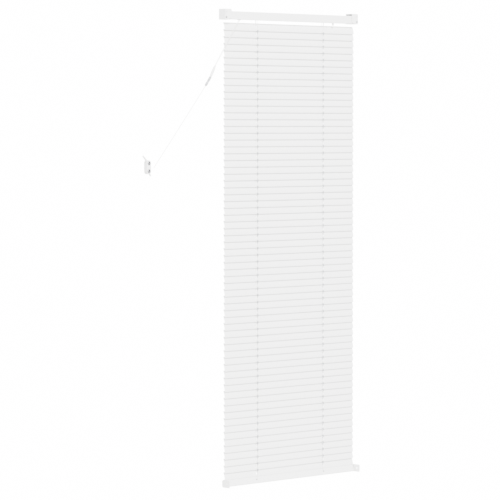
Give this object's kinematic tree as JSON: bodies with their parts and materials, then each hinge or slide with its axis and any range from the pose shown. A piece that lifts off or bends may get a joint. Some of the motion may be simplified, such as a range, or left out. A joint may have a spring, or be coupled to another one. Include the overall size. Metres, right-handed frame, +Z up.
{
  "type": "venetian blind",
  "caption": "Narrow-slat venetian blind with headrail, box brackets, ladders, worm tilter, cord lock, pull cord, wall cleat and hold-down brackets, lowered and closed.",
  "frame": {"origin": "on the wall plane, midway between the two brackets, level with their tops", "axes": "X along the headrail to the right as seen from the room, +Y into the wall, Z up"},
  "size_m": [0.9424, 0.043, 1.4966],
  "materials": {
    "white_enamel": "satin white enamel",
    "slat_enamel": "satin white enamel on thin aluminium",
    "white_nylon": "moulded white plastic",
    "white_cord": "braided white cord",
    "zinc_steel": "zinc plated",
    "grey_plastic": "moulded grey plastic"
  },
  "bodies": {
    "headrail_and_fixings": {"headrail": "white_enamel", "bracket_left": "white_enamel", "bracket_right": "white_enamel", "gate_rivet_left": "zinc_steel", "gate_rivet_right": "zinc_steel", "drum_cradle_left": "white_nylon", "drum_cradle_right": "white_nylon", "tilter_housing": "white_nylon", "cord_lock": "white_nylon", "lift_cord_run_left": "white_cord", "lift_cord_run_right": "white_cord", "ladder_left": "white_cord", "ladder_right": "white_cord", "slats_between": "slat_enamel", "hold_down_left": "white_nylon", "hold_down_right": "white_nylon", "pull_cord_strand_left": "white_cord", "pull_cord_strand_right": "white_cord", "connector_cap": "white_nylon", "connector_body": "grey_plastic", "pull_cord_single": "white_cord", "cord_cleat": "white_nylon", "cleat_screw_lower": "zinc_steel", "cleat_screw_upper": "zinc_steel"},
    "tilt_rod": {"tilt_rod": "zinc_steel", "ladder_drum_left": "white_nylon", "ladder_drum_right": "white_nylon", "tilter_gear": "white_nylon"},
    "tilter_worm": {"tilter_worm": "white_nylon"},
    "bottom_rail": {"bottom_rail": "white_enamel", "rail_cap_left": "white_nylon", "rail_cap_right": "white_nylon", "cord_plug_left": "white_nylon", "cord_plug_right": "white_nylon"},
    "gate_left": {"bracket_gate_left": "white_enamel"},
    "gate_right": {"bracket_gate_right": "white_enamel"},
    "cord_lock_roller": {"cord_lock_roller": "zinc_steel"},
    "slat_01": {"slat_01": "slat_enamel"},
    "slat_04": {"slat_04": "slat_enamel"},
    "slat_07": {"slat_07": "slat_enamel"},
    "slat_10": {"slat_10": "slat_enamel"},
    "slat_13": {"slat_13": "slat_enamel"},
    "slat_16": {"slat_16": "slat_enamel"},
    "slat_19": {"slat_19": "slat_enamel"},
    "slat_22": {"slat_22": "slat_enamel"},
    "slat_25": {"slat_25": "slat_enamel"},
    "slat_28": {"slat_28": "slat_enamel"},
    "slat_31": {"slat_31": "slat_enamel"},
    "slat_34": {"slat_34": "slat_enamel"},
    "slat_37": {"slat_37": "slat_enamel"},
    "slat_40": {"slat_40": "slat_enamel"},
    "slat_43": {"slat_43": "slat_enamel"},
    "slat_46": {"slat_46": "slat_enamel"},
    "slat_49": {"slat_49": "slat_enamel"},
    "slat_52": {"slat_52": "slat_enamel"},
    "slat_55": {"slat_55": "slat_enamel"},
    "slat_58": {"slat_58": "slat_enamel"},
    "slat_61": {"slat_61": "slat_enamel"},
    "slat_64": {"slat_64": "slat_enamel"},
    "slat_67": {"slat_67": "slat_enamel"}
  },
  "joints": [
    {"name": "blind_tilt", "type": "hinge", "parent": "headrail_and_fixings", "child": "tilt_rod", "pos_m": [0.192, -0.0142, -0.0195], "axis": [1, 0, 0], "range_deg": [-75, 0], "deforming": ["ladder_left", "ladder_right", "pull_cord_strand_left", "pull_cord_strand_right"]},
    {"name": "tilter_worm_turn", "type": "hinge", "parent": "headrail_and_fixings", "child": "tilter_worm", "pos_m": [0.192, -0.0212, -0.0195], "axis": [0, 0, 1], "range_deg": [-900, 0]},
    {"name": "bottom_rail_tilt", "type": "hinge", "parent": "headrail_and_fixings", "child": "bottom_rail", "pos_m": [0, -0.0142, -1.4846], "axis": [1, 0, 0], "range_deg": [-75, 0]},
    {"name": "gate_left_swing", "type": "hinge", "parent": "headrail_and_fixings", "child": "gate_left", "pos_m": [-0.298, -0.0277, -0.026], "axis": [0, 1, 0], "range_deg": [0, 95]},
    {"name": "gate_right_swing", "type": "hinge", "parent": "headrail_and_fixings", "child": "gate_right", "pos_m": [0.298, -0.0277, -0.026], "axis": [0, -1, 0], "range_deg": [0, 95]},
    {"name": "cord_lock_roller_spin", "type": "hinge", "parent": "headrail_and_fixings", "child": "cord_lock_roller", "pos_m": [-0.2275, -0.0152, -0.0215], "axis": [0, 1, 0], "continuous": true},
    {"name": "slat_01_tilt", "type": "hinge", "parent": "headrail_and_fixings", "child": "slat_01", "pos_m": [0, -0.0142, -0.05367], "axis": [1, 0, 0], "range_deg": [-75, 0]},
    {"name": "slat_04_tilt", "type": "hinge", "parent": "headrail_and_fixings", "child": "slat_04", "pos_m": [0, -0.0142, -0.11767], "axis": [1, 0, 0], "range_deg": [-75, 0]},
    {"name": "slat_07_tilt", "type": "hinge", "parent": "headrail_and_fixings", "child": "slat_07", "pos_m": [0, -0.0142, -0.18166], "axis": [1, 0, 0], "range_deg": [-75, 0]},
    {"name": "slat_10_tilt", "type": "hinge", "parent": "headrail_and_fixings", "child": "slat_10", "pos_m": [0, -0.0142, -0.24565], "axis": [1, 0, 0], "range_deg": [-75, 0]},
    {"name": "slat_13_tilt", "type": "hinge", "parent": "headrail_and_fixings", "child": "slat_13", "pos_m": [0, -0.0142, -0.30965], "axis": [1, 0, 0], "range_deg": [-75, 0]},
    {"name": "slat_16_tilt", "type": "hinge", "parent": "headrail_and_fixings", "child": "slat_16", "pos_m": [0, -0.0142, -0.37364], "axis": [1, 0, 0], "range_deg": [-75, 0]},
    {"name": "slat_19_tilt", "type": "hinge", "parent": "headrail_and_fixings", "child": "slat_19", "pos_m": [0, -0.0142, -0.43763], "axis": [1, 0, 0], "range_deg": [-75, 0]},
    {"name": "slat_22_tilt", "type": "hinge", "parent": "headrail_and_fixings", "child": "slat_22", "pos_m": [0, -0.0142, -0.50163], "axis": [1, 0, 0], "range_deg": [-75, 0]},
    {"name": "slat_25_tilt", "type": "hinge", "parent": "headrail_and_fixings", "child": "slat_25", "pos_m": [0, -0.0142, -0.56562], "axis": [1, 0, 0], "range_deg": [-75, 0]},
    {"name": "slat_28_tilt", "type": "hinge", "parent": "headrail_and_fixings", "child": "slat_28", "pos_m": [0, -0.0142, -0.62961], "axis": [1, 0, 0], "range_deg": [-75, 0]},
    {"name": "slat_31_tilt", "type": "hinge", "parent": "headrail_and_fixings", "child": "slat_31", "pos_m": [0, -0.0142, -0.69361], "axis": [1, 0, 0], "range_deg": [-75, 0]},
    {"name": "slat_34_tilt", "type": "hinge", "parent": "headrail_and_fixings", "child": "slat_34", "pos_m": [0, -0.0142, -0.7576], "axis": [1, 0, 0], "range_deg": [-75, 0]},
    {"name": "slat_37_tilt", "type": "hinge", "parent": "headrail_and_fixings", "child": "slat_37", "pos_m": [0, -0.0142, -0.82159], "axis": [1, 0, 0], "range_deg": [-75, 0]},
    {"name": "slat_40_tilt", "type": "hinge", "parent": "headrail_and_fixings", "child": "slat_40", "pos_m": [0, -0.0142, -0.88559], "axis": [1, 0, 0], "range_deg": [-75, 0]},
    {"name": "slat_43_tilt", "type": "hinge", "parent": "headrail_and_fixings", "child": "slat_43", "pos_m": [0, -0.0142, -0.94958], "axis": [1, 0, 0], "range_deg": [-75, 0]},
    {"name": "slat_46_tilt", "type": "hinge", "parent": "headrail_and_fixings", "child": "slat_46", "pos_m": [0, -0.0142, -1.01357], "axis": [1, 0, 0], "range_deg": [-75, 0]},
    {"name": "slat_49_tilt", "type": "hinge", "parent": "headrail_and_fixings", "child": "slat_49", "pos_m": [0, -0.0142, -1.07757], "axis": [1, 0, 0], "range_deg": [-75, 0]},
    {"name": "slat_52_tilt", "type": "hinge", "parent": "headrail_and_fixings", "child": "slat_52", "pos_m": [0, -0.0142, -1.14156], "axis": [1, 0, 0], "range_deg": [-75, 0]},
    {"name": "slat_55_tilt", "type": "hinge", "parent": "headrail_and_fixings", "child": "slat_55", "pos_m": [0, -0.0142, -1.20555], "axis": [1, 0, 0], "range_deg": [-75, 0]},
    {"name": "slat_58_tilt", "type": "hinge", "parent": "headrail_and_fixings", "child": "slat_58", "pos_m": [0, -0.0142, -1.26955], "axis": [1, 0, 0], "range_deg": [-75, 0]},
    {"name": "slat_61_tilt", "type": "hinge", "parent": "headrail_and_fixings", "child": "slat_61", "pos_m": [0, -0.0142, -1.33354], "axis": [1, 0, 0], "range_deg": [-75, 0]},
    {"name": "slat_64_tilt", "type": "hinge", "parent": "headrail_and_fixings", "child": "slat_64", "pos_m": [0, -0.0142, -1.39753], "axis": [1, 0, 0], "range_deg": [-75, 0]},
    {"name": "slat_67_tilt", "type": "hinge", "parent": "headrail_and_fixings", "child": "slat_67", "pos_m": [0, -0.0142, -1.46153], "axis": [1, 0, 0], "range_deg": [-75, 0]}
  ],
  "couplings": [
    {"joint": "tilter_worm_turn", "follows": "blind_tilt", "ratio": 12},
    {"joint": "bottom_rail_tilt", "follows": "blind_tilt", "ratio": 1},
    {"joint": "slat_01_tilt", "follows": "blind_tilt", "ratio": 1},
    {"joint": "slat_04_tilt", "follows": "blind_tilt", "ratio": 1},
    {"joint": "slat_07_tilt", "follows": "blind_tilt", "ratio": 1},
    {"joint": "slat_10_tilt", "follows": "blind_tilt", "ratio": 1},
    {"joint": "slat_13_tilt", "follows": "blind_tilt", "ratio": 1},
    {"joint": "slat_16_tilt", "follows": "blind_tilt", "ratio": 1},
    {"joint": "slat_19_tilt", "follows": "blind_tilt", "ratio": 1},
    {"joint": "slat_22_tilt", "follows": "blind_tilt", "ratio": 1},
    {"joint": "slat_25_tilt", "follows": "blind_tilt", "ratio": 1},
    {"joint": "slat_28_tilt", "follows": "blind_tilt", "ratio": 1},
    {"joint": "slat_31_tilt", "follows": "blind_tilt", "ratio": 1},
    {"joint": "slat_34_tilt", "follows": "blind_tilt", "ratio": 1},
    {"joint": "slat_37_tilt", "follows": "blind_tilt", "ratio": 1},
    {"joint": "slat_40_tilt", "follows": "blind_tilt", "ratio": 1},
    {"joint": "slat_43_tilt", "follows": "blind_tilt", "ratio": 1},
    {"joint": "slat_46_tilt", "follows": "blind_tilt", "ratio": 1},
    {"joint": "slat_49_tilt", "follows": "blind_tilt", "ratio": 1},
    {"joint": "slat_52_tilt", "follows": "blind_tilt", "ratio": 1},
    {"joint": "slat_55_tilt", "follows": "blind_tilt", "ratio": 1},
    {"joint": "slat_58_tilt", "follows": "blind_tilt", "ratio": 1},
    {"joint": "slat_61_tilt", "follows": "blind_tilt", "ratio": 1},
    {"joint": "slat_64_tilt", "follows": "blind_tilt", "ratio": 1},
    {"joint": "slat_67_tilt", "follows": "blind_tilt", "ratio": 1}
  ]
}
